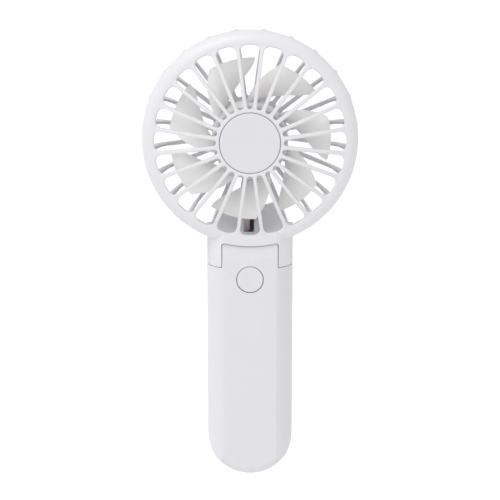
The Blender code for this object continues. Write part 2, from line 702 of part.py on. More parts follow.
def battery():
    """Round cell with a tab at each end and a foam pad behind it."""
    middle = (0.0, BODY_Y, 0.0)
    edge = 0.0006
    profile = [(0.0, CELL_HIGH_Z), (0.0028, CELL_HIGH_Z), (0.0030, CELL_HIGH_Z - 0.0010),
               (CELL_R - edge, CELL_HIGH_Z - 0.0010), (CELL_R, CELL_HIGH_Z - 0.0010 - edge),
               (CELL_R, CELL_LOW_Z + edge), (CELL_R - edge, CELL_LOW_Z), (0.0, CELL_LOW_Z)]
    turned("battery_cell", profile, middle, "up", 28, "cell_wrap")
    box("battery_tab_top", (-0.0035, BODY_Y - 0.0025, CELL_HIGH_Z + 0.0002),
        (0.0035, BODY_Y + 0.0025, CELL_HIGH_Z + 0.0006), "nickel")
    box("battery_tab_bottom", (-0.0035, BODY_Y - 0.0025, CELL_LOW_Z - 0.0006),
        (0.0035, BODY_Y + 0.0025, CELL_LOW_Z - 0.0002), "nickel")
    box("battery_pad", (-0.0050, BODY_Y + CELL_R + 0.0002, 0.0400), (0.0050, BACK_Y - WALL - 0.0002, 0.0660),
        "foam")


def charging_socket():
    """Small board with its socket in the lower end of the handle."""
    board_low = BODY_Y + 0.0019
    box("charge_board", (-0.0080, board_low, 0.0062), (0.0080, board_low + 0.0010, 0.0165), "board_green")
    shell = box("usb_shell", (-0.0045, BODY_Y - 0.0016, 0.0009), (0.0045, BODY_Y + 0.0016, 0.0082),
                "nickel", bevel=0.0012)
    combine(shell, box("usb_mouth", (-0.0041, BODY_Y - 0.0012, -0.0010),
                       (0.0041, BODY_Y + 0.0012, 0.0076), bevel=0.0009))
    box("usb_tongue", (-0.0033, BODY_Y - 0.00035, 0.0022), (0.0033, BODY_Y + 0.00035, 0.0075),
        "black_plastic")


def smooth_route(points, step=0.0032):
    """Points at even steps along a Catmull-Rom curve through the route."""
    knots = [Vector(p) for p in points]
    knots = [knots[0] * 2 - knots[1]] + knots + [knots[-1] * 2 - knots[-2]]
    route = []
    for a, b, c, d in zip(knots, knots[1:], knots[2:], knots[3:]):
        count = max(2, round((c - b).length / step))
        for i in range(count):
            t = i / count
            route.append(0.5 * ((2 * b) + (c - a) * t + (2 * a - 5 * b + 4 * c - d) * t * t
                                + (3 * b - a - 3 * c + d) * t ** 3))
    route.append(knots[-2])
    return route


def lead(name, points, material):
    curve = bpy.data.curves.new(name, "CURVE")
    curve.dimensions = "3D"
    curve.bevel_depth = WIRE_R
    curve.bevel_resolution = 2
    curve.use_fill_caps = True
    route = smooth_route(points)
    spline = curve.splines.new("POLY")
    spline.points.add(len(route) - 1)
    for point, place in zip(spline.points, route):
        point.co = (*place, 1.0)
    obj = bpy.data.objects.new(name, curve)
    bpy.context.scene.collection.objects.link(obj)
    return finish(mesh_from_curve(obj), material)


def motor_leads():
    """Two leads from the motor down the panel and the left ear, then through the hollow pin."""
    drop = {"red": ((-0.0004, 0.0113, 0.1270), (0.0000, 0.0109, 0.1249), (0.0003, 0.0105, 0.1232),
                    (0.00035, 0.0099, 0.1214), (0.00035, 0.0094, 0.1198), (0.0002, 0.0080, 0.1174),
                    (-0.0016, 0.0069, 0.1160)),
            "black": ((0.0008, 0.0113, 0.1270), (0.0011, 0.01085, 0.1249), (0.0013, 0.0104, 0.1232),
                      (0.0013, 0.0093, 0.1214), (0.0012, 0.0084, 0.1198), (0.0009, 0.0068, 0.1174),
                      (-0.0014, 0.0056, 0.1160))}
    for side, colour in ((-1, "red"), (1, "black")):
        off = side * 0.00065
        deep = 0.00625 - off
        head = [(side * 0.0030, 0.0115, 0.1560), (side * 0.0012, 0.0115, 0.1500), (off, 0.0114, 0.1440),
                (off, 0.0114, 0.1300), *drop[colour], (-0.0040, deep, 0.1156),
                (-0.0085, deep, 0.1159), (-0.0125, deep, 0.1164), (-0.0145, deep, 0.1165),
                (-0.0172, deep, 0.1161), (-0.01775, deep, 0.1146), (-0.01775, deep, 0.1085),
                (-0.0176, deep + 0.0003, 0.1070)]
        lead(f"{colour}_motor_lead", head, f"{colour}_sleeve")
        level = HINGE_Y - off
        low = [(-0.0166, level, 0.1065), (-0.0130, level, 0.1065), (-0.0085, level, 0.1065),
               (-0.0062, level, 0.1056), (-0.0050 + off, level - 0.0010, 0.1020),
               (-0.0050 + off, 0.0035, 0.0985), (-0.0050 + off, 0.0012, 0.0970)]
        lead(f"{colour}_board_lead", low, f"{colour}_sleeve")


# ---------------------------------------------------------------- assembly
def build():
    fold = joint_empty("head_fold_axis", HINGE)
    spin = joint_empty("impeller_axis", FAN)
    press = joint_empty("button_axis", (0.0, FACE_Y, BUTTON_Z))
    head = [front_grille(), rear_grille(), centre_disc(), wire_cover()]
    rotor, shaft = motor()
    blades = impeller()
    head += hinge_parts()
    for side, label in ((-1, "left"), (1, "right")):
        head.append(screw(f"head_screw_{label}", head_screw_place(side), HEAD_SCREW_Y, -0.0048))
    front_shell()
    rear_shell()
    button = power_button()
    plunger = control_electronics()
    battery()
    charging_socket()
    for side, label in ((-1, "left"), (1, "right")):
        for level, z in zip(("lower", "upper"), SCREW_ZS):
            screw(f"handle_screw_{level}_{label}", (side * SCREW_X, 0.0, z), 0.0111, -0.0030)
    motor_leads()
    names = ("motor_can", "motor_cap", "front_bush", "rear_bush", "motor_sleeve", "motor_magnet",
             "red_motor_lead", "black_motor_lead")
    head += [bpy.data.objects[name] for name in names]
    carry(fold, spin, *head)
    carry(spin, blades, rotor, shaft)
    carry(press, button, plunger)


build()
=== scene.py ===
"""Looks of the handheld fan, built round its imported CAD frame.

Lengths are millimetres until a mesh is made; the frame's own numbers are metres.
The fan blows towards -Y, +X is to its right and +Z runs up the handle.
"""

import json
import math

import bmesh
import bpy
import numpy as np
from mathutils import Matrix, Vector


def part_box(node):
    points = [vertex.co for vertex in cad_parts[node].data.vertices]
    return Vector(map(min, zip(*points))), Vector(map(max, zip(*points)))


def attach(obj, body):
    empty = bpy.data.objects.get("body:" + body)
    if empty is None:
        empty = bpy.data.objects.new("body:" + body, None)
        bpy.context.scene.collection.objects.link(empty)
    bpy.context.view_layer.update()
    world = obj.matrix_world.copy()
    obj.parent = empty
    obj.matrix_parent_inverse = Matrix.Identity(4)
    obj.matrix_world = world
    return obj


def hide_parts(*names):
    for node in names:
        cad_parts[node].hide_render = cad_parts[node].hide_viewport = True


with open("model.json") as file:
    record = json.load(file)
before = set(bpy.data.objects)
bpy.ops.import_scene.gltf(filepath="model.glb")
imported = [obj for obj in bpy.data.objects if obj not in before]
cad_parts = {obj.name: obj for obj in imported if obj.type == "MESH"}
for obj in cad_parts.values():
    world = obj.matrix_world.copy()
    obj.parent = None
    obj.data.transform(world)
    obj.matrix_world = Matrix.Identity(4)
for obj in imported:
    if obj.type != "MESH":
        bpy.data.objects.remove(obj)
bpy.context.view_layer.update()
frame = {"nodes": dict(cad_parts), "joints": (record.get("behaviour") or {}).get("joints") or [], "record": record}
MM = 0.001
JOINTS = {joint["name"]: joint for joint in frame["joints"]}


def low(node, axis):
    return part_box(node)[0]["xyz".index(axis)] / MM


def high(node, axis):
    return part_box(node)[1]["xyz".index(axis)] / MM


# ---------------------------------------------------------------- sizes read from the frame
FAN_Z = JOINTS["impeller_spin"]["pos_m"][2] / MM
HINGE_Y, HINGE_Z = (JOINTS["head_fold"]["pos_m"][i] / MM for i in (1, 2))
RIM_R = high("front_grille", "x")
FRONT_Y = low("centre_disc", "y")
BACK_Y = high("rear_grille", "y")
DISC_R = high("centre_disc", "x")
HUB_FRONT_Y = low("impeller", "y")
FACE_Y = low("front_shell", "y")
BODY_Y = (FACE_Y + BACK_Y) / 2
BODY_HALF_D = BACK_Y - BODY_Y
BODY_HALF_W = high("front_shell", "x")
EAR_FOOT = 0.8           # the ears end this far below the CAD's
EAR_Z = low("front_grille", "z") - EAR_FOOT
BUTTON_Z = (low("power_button", "z") + high("power_button", "z")) / 2
RIM_PART_Y = (high("front_grille", "y") + low("rear_grille", "y")) / 2

# sizes that follow the CAD source
GAP = 0.3                # width of the seams
SECTORS = 24             # slots round each grille
SLOT_IN_R, SLOT_OUT_R = 15.6, 44.3
REAR_SLOT_IN_R = 17.7
PANEL_R = 35.2           # the slots beside the wire panel end here
SPOKE_W, RIB_W = 1.75, 1.9
DOME_RISE = 5.4          # how much further back the dome's edge is than its middle
GRILLE_T = 2.2
HUB_R, BLADE_R = 17.5, 37.4
SIDE_R = 13.04           # radius of the handle's sides
SIDE_X = BODY_HALF_W - SIDE_R
WALL = 1.7
LUG_R = 8.0              # round lower end of an ear
EAR_X, TONGUE_X = 13.3, 13.0
PIN_R = 3.0
BUTTON_R, BUTTON_HOLE_R = 6.15, 6.45
SCREW_X, SCREW_ZS = 13.6, (28.0, 88.0)
HEAD_SCREW_X, HEAD_SCREW_Z = 15.6, 112.2
SCREW_HEAD_H = 1.3
SCREW_SEAT_R, SCREW_SEAT_Y = 2.1, 11.0
USB_LENGTH_X, USB_DEPTH_Y, USB_CORNER = 4.7, 1.9, 1.7

# cutters reach well past the part on every side
FAR_X, FAR_Y, FAR_Z = 30, 20, 130


# ---------------------------------------------------------------- mesh helpers
def new_object(name, verts, faces):
    """A mesh object from points in millimetres."""
    mesh = bpy.data.meshes.new(name)
    mesh.from_pydata((np.asarray(verts, float) * MM).tolist(), [], faces)
    obj = bpy.data.objects.new(name, mesh)
    bpy.context.scene.collection.objects.link(obj)
    return obj


def weld(obj, distance=0.002):
    """Merge coinciding points and turn every face outwards."""
    bm = bmesh.new()
    bm.from_mesh(obj.data)
    bmesh.ops.remove_doubles(bm, verts=bm.verts, dist=distance * MM)
    bmesh.ops.dissolve_degenerate(bm, edges=bm.edges, dist=distance * MM / 4)
    bmesh.ops.recalc_face_normals(bm, faces=bm.faces)
    bm.to_mesh(obj.data)
    bm.free()
    return obj


def apply_all(obj):
    """Replace the mesh by its evaluated copy and drop the modifiers."""
    bpy.context.view_layer.update()
    graph = bpy.context.evaluated_depsgraph_get()
    mesh = bpy.data.meshes.new_from_object(obj.evaluated_get(graph))
    obj.modifiers.clear()
    obj.data = mesh
    return obj


def combine(target, other, operation="DIFFERENCE"):
    """Boolean of two closed meshes; the second one is used up."""
    mod = target.modifiers.new(operation.title(), "BOOLEAN")
    mod.operation = operation
    mod.object = other
    mod.solver = "EXACT"
    apply_all(target)
    bpy.data.objects.remove(other, do_unlink=True)
    return target


def soften(obj, width, segments=3, angle=50.0):
    """Round the edges that turn by more than the angle."""
    mod = obj.modifiers.new("Bevel", "BEVEL")
    mod.width = width * MM
    mod.segments = segments
    mod.limit_method = "ANGLE"
    mod.angle_limit = math.radians(angle)
    mod.harden_normals = False
    return apply_all(obj)


def finish(obj, material, sharp):
    """Give a mesh its one material and smooth shading up to an angle."""
    obj.data.materials.clear()
    obj.data.materials.append(material)
    obj.data.shade_smooth()
    obj.data.set_sharp_from_angle(angle=math.radians(sharp))


def dress(obj, body, material, node, sharp=28.0):
    """Finish a piece and put it on its body in its CAD node's place."""
    weld(obj)
    finish(obj, material, sharp)
    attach(obj, body)
    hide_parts(node)


def arc(centre, radius, start, end, count):
    """Points on an arc, angles in degrees from the first direction."""
    angles = np.radians(np.linspace(start, end, count + 1))
    return [(centre[0] + radius * math.cos(t), centre[1] + radius * math.sin(t)) for t in angles]


def round_corner(points, index, radius, count=6):
    """The outline with one corner replaced by an arc."""
    here = Vector(points[index])
    back = (Vector(points[index - 1]) - here).normalized()
    ahead = (Vector(points[(index + 1) % len(points)]) - here).normalized()
    half = back.angle(ahead) / 2
    middle = here + (back + ahead).normalized() * radius / math.sin(half)
    first = here + back * radius / math.tan(half) - middle
    last = here + ahead * radius / math.tan(half) - middle
    corner = [tuple(middle + first.lerp(last, i / count).normalized() * radius) for i in range(count + 1)]
    return points[:index] + corner + points[index + 1:]


AXES = {"XY": (0, 1, 2), "XZ": (0, 2, 1), "YZ": (1, 2, 0)}


def plate(name, outline, plane, start, end):
    """A flat outline in a plane, filled from start to end along the third direction."""
    first, second, third = AXES[plane]
    count = len(outline)
    verts = np.zeros((2 * count, 3))
    for level, height in enumerate((start, end)):
        rows = slice(level * count, (level + 1) * count)
        verts[rows, first] = [p[0] for p in outline]
        verts[rows, second] = [p[1] for p in outline]
        verts[rows, third] = height
    faces = [list(range(count)), list(range(count, 2 * count))]
    faces += [(i, (i + 1) % count, count + (i + 1) % count, count + i) for i in range(count)]
    return weld(new_object(name, verts, faces))


def block(name, lowest, highest):
    (x0, y0, z0), (x1, y1, z1) = lowest, highest
    return plate(name, [(x0, y0), (x1, y0), (x1, y1), (x0, y1)], "XY", z0, z1)


def turned(name, profile, centre, axis, steps, closed=False):
    """A profile of (radius, position along the axis) turned about an axis through centre."""
    count = len(profile)
    angles = np.linspace(0, 2 * math.pi, steps, endpoint=False)
    verts = []
    for radius, along in profile:
        for t in angles:
            a, b = radius * math.cos(t), radius * math.sin(t)
            offset = {"x": (along, a, b), "y": (a, along, b), "z": (a, b, along)}[axis]
            verts.append([c + o for c, o in zip(centre, offset)])
    faces = []
    for row in range(count if closed else count - 1):
        under, over = row * steps, (row + 1) % count * steps
        for i in range(steps):
            j = (i + 1) % steps
            faces.append((under + i, under + j, over + j, over + i))
    return weld(new_object(name, verts, faces))


def cylinder(name, radius, start, end, centre, axis="y", steps=48):
    return turned(name, [(0, start), (radius, start), (radius, end), (0, end)], centre, axis, steps)


# ---------------------------------------------------------------- slotted shells of revolution
SIDE_STEPS, END_STEPS = 22, 8       # steps along a slot's side and across its end
TURN_POINTS, STRAIGHT_POINTS = 12, 60
HALF_SECTOR = math.pi / SECTORS
EDGE_ROWS = (0.0, 0.12, 0.35, 0.65, 1.0)    # rows over a slot's rounded edge
PLAIN_ROWS = 4                              # rows from there to the sector's border
MOST = 0.97                                 # share of the way that the rounding may take up


def eased(count):
    """Positions from 0 to 1 that crowd towards both ends."""
    return (1 - np.cos(np.linspace(0, math.pi, count + 1))) / 2


def resample(points, shares):
    points = np.asarray(points, float)
    lengths = np.r_[0, np.cumsum(np.linalg.norm(np.diff(points, axis=0), axis=1))]
    at = shares * lengths[-1]
    return np.c_[np.interp(at, lengths, points[:, 0]), np.interp(at, lengths, points[:, 1])]


def slot_loop(radius_at, start, end, bar, corner):
    """Closed outline of one slot as (along, across), in four runs from its lower right corner."""
    def half_width(along):
        return radius_at(along) * HALF_SECTOR - bar / 2

    tip_r = half_width(start)
    for _ in range(20):
        tip_r = half_width(start + tip_r)
    wide = half_width(end - corner)

    def tip(first, last, count):
        return [(start + tip_r - tip_r * math.cos(t), tip_r * math.sin(t))
                for t in np.linspace(first, last, count)]

    def turn(first, last):
        return [(end - corner + corner * math.sin(t), wide - corner + corner * math.cos(t))
                for t in np.linspace(first, last, TURN_POINTS)]

    eighth, quarter = math.pi / 4, math.pi / 2
    straight = [(a, half_width(a)) for a in np.linspace(start + tip_r, end - corner, STRAIGHT_POINTS)[1:]]
    right = resample(tip(eighth, quarter, TURN_POINTS) + straight + turn(0, eighth)[1:], eased(SIDE_STEPS))
    far = turn(eighth, quarter)
    far += [(a, -b) for a, b in reversed(far)]
    top = resample(far, eased(END_STEPS))
    bottom = resample(tip(-eighth, eighth, 2 * TURN_POINTS), np.linspace(0, 1, END_STEPS + 1))
    left = right[::-1] * (1, -1)
    return np.vstack([right[:-1], top[:-1], left[:-1], bottom[:-1]])


def sector_loop(radius_at, start, end):
    """The sector's own border, with as many points as a slot's outline."""
    sides = start + (end - start) * eased(SIDE_STEPS)
    across = np.linspace(1, -1, END_STEPS + 1)
    right = [(a, radius_at(a) * HALF_SECTOR) for a in sides]
    top = [(end, radius_at(end) * HALF_SECTOR * c) for c in across]
    left = [(a, -b) for a, b in reversed(right)]
    bottom = [(start, -radius_at(start) * HALF_SECTOR * c) for c in across]
    return np.array(right[:-1] + top[:-1] + left[:-1] + bottom[:-1])


def sheet_point(sheet, along, across, sink=0.0):
    """A point of a sheet of revolution, sunk towards the other sheet; the sector is at the top."""
    radius, depth, normal_r, normal_y = sheet(along)
    angle = across / radius
    radius = radius + normal_r * sink
    return radius * math.sin(angle), depth + normal_y * sink, radius * math.cos(angle)


def rounding(distance, radius):
    """How far a surface has fallen at a distance from its rounded edge."""
    reach = max(0.0, radius - distance)
    return radius - math.sqrt(radius * radius - reach * reach)


def slotted_sector(sheets, radius_at, span, slot, edges):
    """Points and faces of one sector: an outer and an inner sheet joined by the slot's wall."""
    verts, faces = [], []
    if slot is None:
        columns = END_STEPS + 1
        sides = span[0] + (span[1] - span[0]) * eased(SIDE_STEPS)
        for sheet in sheets:
            base = len(verts)
            for a in sides:
                for c in np.linspace(1, -1, columns):
                    verts.append(sheet_point(sheet, a, radius_at(a) * HALF_SECTOR * c))
            for i in range(SIDE_STEPS):
                for j in range(END_STEPS):
                    k = base + i * columns + j
                    faces.append((k, k + 1, k + columns + 1, k + columns))
        return verts, faces
    hole = slot_loop(radius_at, *slot)
    border = sector_loop(radius_at, *span)
    count = len(border)
    rows = len(EDGE_ROWS) + PLAIN_ROWS
    for sheet, edge_r in zip(sheets, edges):
        base = len(verts)
        fine = [edge_r * s for s in EDGE_ROWS]
        for row in range(rows):
            for inside, outside in zip(hole, border):
                reach = np.linalg.norm(outside - inside)
                if row < len(fine):
                    distance = min(fine[row], reach * MOST)
                else:
                    start = min(fine[-1], reach * MOST)
                    distance = start + (reach - start) * (row - len(fine) + 1) / PLAIN_ROWS
                a, c = inside + (outside - inside) * distance / reach
                verts.append(sheet_point(sheet, a, c, rounding(distance, edge_r)))
        for row in range(rows - 1):
            for i in range(count):
                j = (i + 1) % count
                k = base + row * count
                faces.append((k + i, k + j, k + count + j, k + count + i))
    inner = rows * count
    faces += [(i, (i + 1) % count, inner + (i + 1) % count, inner + i) for i in range(count)]
    return verts, faces


def ring_rows(rows):
    """Plain turned strips between (radius, depth) rows, at the sectors' own angles."""
    shares = np.linspace(1, -1, END_STEPS + 1)[:-1]
    angles = np.concatenate([shares * HALF_SECTOR - 2 * HALF_SECTOR * k for k in range(SECTORS)])
    verts = [(r * math.sin(t), y, r * math.cos(t)) for r, y in rows for t in angles]
    count = len(angles)
    faces = []
    for row in range(len(rows) - 1):
        for i in range(count):
            j = (i + 1) % count
            k, m = row * count, (row + 1) * count
            faces.append((k + i, k + j, m + j, m + i))
    return verts, faces


def slotted_shell(name, sheets, radius_at, span, slots, edges, outside, inside):
    """A closed grille about the fan's axis; slots says what each sector holds."""
    all_verts, all_faces = [], []

    def add(verts, faces, turn=0.0):
        base = len(all_verts)
        c, s = math.cos(turn), math.sin(turn)
        all_verts.extend((x * c + z * s, y, z * c - x * s + FAN_Z) for x, y, z in verts)
        all_faces.extend(tuple(base + i for i in face) for face in faces)

    made = {}
    for index in range(SECTORS):
        slot = slots(index)
        if slot not in made:
            made[slot] = slotted_sector(sheets, radius_at, span, slot, edges)
        add(*made[slot], turn=2 * HALF_SECTOR * index)
    add(*ring_rows(outside))
    add(*ring_rows(inside))
    return weld(new_object(name, all_verts, all_faces), 0.01)


def sheet_from(function, sink_sign):
    """A sheet with its normal, from a function that gives (radius, depth) along it."""
    def sheet(along):
        step = 0.05
        (r0, y0), (r1, y1), (r, y) = function(along - step), function(along + step), function(along)
        length = math.hypot(r1 - r0, y1 - y0)
        normal = (-(y1 - y0) / length * sink_sign, (r1 - r0) / length * sink_sign)
        return r, y, *normal
    return sheet


def path_function(points):
    """(radius, depth) at a length along a polyline."""
    points = np.asarray(points, float)
    lengths = np.r_[0, np.cumsum(np.linalg.norm(np.diff(points, axis=0), axis=1))]
    return lengths[-1], lambda a: (float(np.interp(a, lengths, points[:, 0])),
                                   float(np.interp(a, lengths, points[:, 1])))


# ---------------------------------------------------------------- the two grilles
def dome_y(radius):
    start = DISC_R + GAP
    return FRONT_Y + 0.1 + DOME_RISE * ((radius - start) / (SLOT_OUT_R - start)) ** 2


def rim_curve(count):
    """The rim's crown, from the dome's edge to its widest point."""
    widest_y = -4.0
    fall = widest_y - dome_y(SLOT_OUT_R)
    return [(SLOT_OUT_R + (RIM_R - SLOT_OUT_R) * math.sin(t), widest_y - fall * math.cos(t))
            for t in np.linspace(0, math.pi / 2, count + 1)]


def front_basket():
    """The front grille: centre ring with its floor, spokes and rim."""
    span = (14.95, 45.1)
    part_y = RIM_PART_Y - GAP / 2
    ring_r = DISC_R + GAP
    floor_y, floor_r, floor_t = FRONT_Y + 1.3, 12.0, 1.4
    dome_start_r, inner_r = 14.2, 45.3
    crown = rim_curve(40)
    front_path = [(r, dome_y(r)) for r in np.linspace(dome_start_r, SLOT_OUT_R, 60)] + crown[1:]
    radii = [r for r, _ in front_path]
    depths = [y for _, y in front_path]

    def front(a):
        return a, float(np.interp(a, radii, depths))

    def back(a):
        return a, dome_y(min(a, SLOT_OUT_R)) + GRILLE_T

    rim = [front(span[1])] + [p for p in crown if p[0] > span[1] + 0.1]
    rim += [(RIM_R, part_y - 0.9)] + arc((RIM_R - 0.3, part_y - 0.3), 0.3, 0, 90, 3)
    rim += [(inner_r, part_y), (inner_r, back(inner_r)[1] + 0.4), back(span[1])]
    hub = [front(span[0]), (14.5, dome_y(14.5)), (ring_r + 0.15, dome_y(ring_r) + 0.02),
           (ring_r, dome_y(ring_r) + 0.17), (ring_r, floor_y), (0.0, floor_y), (0.0, floor_y + floor_t),
           (floor_r, floor_y + floor_t), back(span[0])]
    return slotted_shell("front_grille_fine", (sheet_from(front, 1), sheet_from(back, -1)),
                         lambda a: a, span,
                         lambda index: (SLOT_IN_R, SLOT_OUT_R, SPOKE_W, 2.6), (0.55, 0.3), rim, hub)


REAR_FLAT_R = 35.5       # the flat back ends here
REAR_MIN_R = 16.9
INNER_CORNER_W = 10.2
BASKET_END_Y = 0.6


def rear_basket():
    """The rear grille: flat back with the motor's cup, ribs round the corner, plain bottom panel."""
    floor_y = BACK_Y - 2.5
    points = 30
    corner_r, corner_y, corner_w, corner_d = 40.5, 4.0, 10.0, 11.0
    corner = [(corner_r + corner_w * math.sin(t), corner_y + corner_d * math.cos(t))
              for t in np.linspace(0, math.pi / 2, points)]
    foot = [(50.45, 2.4), (50.25, 1.4), (RIM_R, BASKET_END_Y)]
    outer_path = [(REAR_FLAT_R, BACK_Y)] + corner + foot
    inner_path = [(REAR_FLAT_R + INNER_CORNER_W * math.sin(t), floor_y * math.cos(t))
                  for t in np.linspace(0, math.acos(BASKET_END_Y / floor_y), points)]
    outer_length, outer_at = path_function(outer_path)
    inner_length, inner_at = path_function(inner_path)

    def outer(a):
        return (a, BACK_Y) if a <= REAR_FLAT_R else outer_at(a - REAR_FLAT_R)

    def inner(a):
        if a <= REAR_FLAT_R:
            return a, floor_y
        return inner_at((a - REAR_FLAT_R) * inner_length / outer_length)

    def radius_at(a):
        return outer(a)[0]

    span = (REAR_MIN_R, REAR_FLAT_R + outer_length)
    bottom = SECTORS // 2

    def slots(index):
        if index == bottom:
            return None
        end = PANEL_R if abs(index - bottom) == 1 else span[1] - 0.8
        return (REAR_SLOT_IN_R, end, RIB_W, 1.3)

    part_y = RIM_PART_Y + GAP / 2
    rim = [outer(span[1]), (RIM_R, part_y + 0.9)] + arc((RIM_R - 0.3, part_y + 0.3), 0.3, 0, -90, 3)
    rim += [(45.7, part_y), inner(span[1])]
    cup_in, cup_out, cup_y = 13.5, 14.8, 1.5
    soft, fillet = 0.2, 0.8
    hub = [outer(span[0]), (0.0, BACK_Y), (0.0, floor_y), (cup_in, floor_y), (cup_in, cup_y + soft),
           (cup_in + soft, cup_y), (cup_out - soft, cup_y), (cup_out, cup_y + soft),
           (cup_out, floor_y - fillet), (cup_out + 0.25, floor_y - 0.25), (cup_out + fillet, floor_y),
           inner(span[0])]
    return slotted_shell("rear_grille_fine", (sheet_from(outer, -1), sheet_from(inner, 1)),
                         radius_at, span, slots, (0.5, 0.35), rim, hub)


def body_section(inset=0.0, side_steps=28):
    """Cross-section of handle and neck in XY: flat front and back, rounded sides."""
    radius = SIDE_R - inset
    half = math.degrees(math.asin((BODY_HALF_D - inset) / radius))
    right = arc((SIDE_X, BODY_Y), radius, -half, half, side_steps)
    outline = right + [(-x, y) for x, y in reversed(right)]
    if inset:
        return outline
    last = len(right) - 1
    for index in (len(outline) - 1, last + 1, last, 0):
        outline = round_corner(outline, index, BODY_CORNER, 3)
    return outline


def handle_outline(inset=0.0, steps=64):
    """Front view outline: straight sides and a half-round lower end."""
    radius, top = BODY_HALF_W - inset, 120.0
    return arc((0.0, BODY_HALF_W), radius, 180, 360, steps) + [(radius, top), (-radius, top)]


def rim_chord(radius, half_width, floor_z, corner=0.0):
    """Outline below an arc about the fan's axis, between two walls, in XZ."""
    half = math.degrees(math.asin(half_width / radius))
    top = arc((0.0, FAN_Z), radius, 270 - half, 270 + half, 24)
    outline = top + [(half_width, floor_z), (-half_width, floor_z)]
    if corner:
        # the straight neighbours of the two upper corners are long enough for the arc
        keep = [p for p in top if abs(p[0]) < half_width - corner * 1.4]
        outline = [top[0]] + keep + [top[-1], (half_width, floor_z), (-half_width, floor_z)]
        outline = round_corner(outline, len(keep) + 1, corner)
        outline = round_corner(outline, 0, corner)
    return outline


BODY_CORNER = 1.3        # between the flat faces and the round sides
POCKET_CORNER, TONGUE_CORNER = 1.3, 1.0
TONGUE_EASE = 0.8        # how far the tongue falls back at its upper seam
POCKET_R = RIM_R - 0.35  # lower edge of the neck's front
SEAM = 0.45              # the tongue's upper seam
NECK_EDGE, SHELL_EDGE = 0.22, 0.18
NECK_TOP_Z = FAN_Z - 40
UNDER_NECK_Z = 90
FINE_TURN = 192          # steps of the cutters that share the head's axis


def pocket():
    """The room between the ears."""
    return plate("pocket", rim_chord(POCKET_R, EAR_X, UNDER_NECK_Z, POCKET_CORNER), "XZ", -FAR_Y, FAR_Y)


def front_neck():
    """The neck's front half with the front of both ears; it swells forward to meet the dome."""
    part_y = RIM_PART_Y - GAP / 2
    front_y = dome_y(SLOT_OUT_R)
    skin, inside_r = 2.0, 47.5
    growth = (front_y - BODY_Y) / (FACE_Y - BODY_Y)
    rim_z, dome_z = FAN_Z - RIM_R, RIM_R - SLOT_OUT_R
    heights = [(EAR_Z, 0.0), (rim_z - 0.3, 0.0)]
    heights += [(rim_z + dome_z * s, s * s * (3 - 2 * s)) for s in np.linspace(0, 1, 7)]
    heights.append((NECK_TOP_Z, 1.0))
    outline = body_section()
    count = len(outline)
    verts, faces = [], [list(range(count))]
    for z, share in heights:
        scale = 1 + (growth - 1) * share
        verts += [(x, BODY_Y + (y - BODY_Y) * (scale if y < BODY_Y else 1), z) for x, y in outline]
    for row in range(len(heights) - 1):
        for i in range(count):
            j = (i + 1) % count
            k, m = row * count, (row + 1) * count
            faces.append((k + i, k + j, m + j, m + i))
    faces.append(list(range(len(verts) - count, len(verts))))
    neck = weld(new_object("front_neck", verts, faces))
    combine(neck, block("keep", (-FAR_X, -FAR_Y, UNDER_NECK_Z), (FAR_X, part_y, FAR_Z)), "INTERSECT")
    combine(neck, cylinder("inside", inside_r, front_y + skin, FAR_Y, (0, 0, FAN_Z), steps=FINE_TURN))
    combine(neck, cylinder("top", SLOT_OUT_R + 0.1, -FAR_Y, FAR_Y, (0, 0, FAN_Z), steps=FINE_TURN))
    combine(neck, pocket())
    return soften(neck, NECK_EDGE)


HEAD_BORE_R = 1.05


def front_grille():
    part = front_basket()
    combine(part, front_neck(), "UNION")
    for side in (-1, 1):
        place = (side * HEAD_SCREW_X, 0, HEAD_SCREW_Z)
        combine(part, cylinder("bore", HEAD_BORE_R, -5.2, 0, place, steps=24))
    return part


def rear_neck():
    """The neck's back half: two round-ended ears around a pocket for the tongue."""
    part_y = RIM_PART_Y + GAP / 2
    neck = plate("rear_neck", body_section(), "XY", 97.0, NECK_TOP_Z)
    half_z = math.sqrt(LUG_R ** 2 - (HINGE_Z - EAR_Z) ** 2)
    start = math.degrees(math.atan2(EAR_Z - HINGE_Z, -half_z)) % 360
    side = [(-FAR_Y, FAR_Z), (-FAR_Y, EAR_Z)] + arc((HINGE_Y, HINGE_Z), LUG_R, start, 360, 36)
    side += [(BACK_Y + 1, HINGE_Z), (BACK_Y + 1, FAR_Z)]
    combine(neck, plate("ear_shape", side, "YZ", -FAR_X, FAR_X), "INTERSECT")
    combine(neck, block("keep", (-FAR_X, part_y, UNDER_NECK_Z), (FAR_X, FAR_Y, FAR_Z)), "INTERSECT")
    combine(neck, cylinder("inside", 45.9, -FAR_Y, 12.7, (0, 0, FAN_Z), steps=FINE_TURN))
    combine(neck, pocket())
    return soften(neck, NECK_EDGE)


WINDOW_LOW = (-3.0, 3.0, FAN_Z - RIM_R)     # opposite corners of the wire window
WINDOW_HIGH = (2.0, 11.0, 122.8)


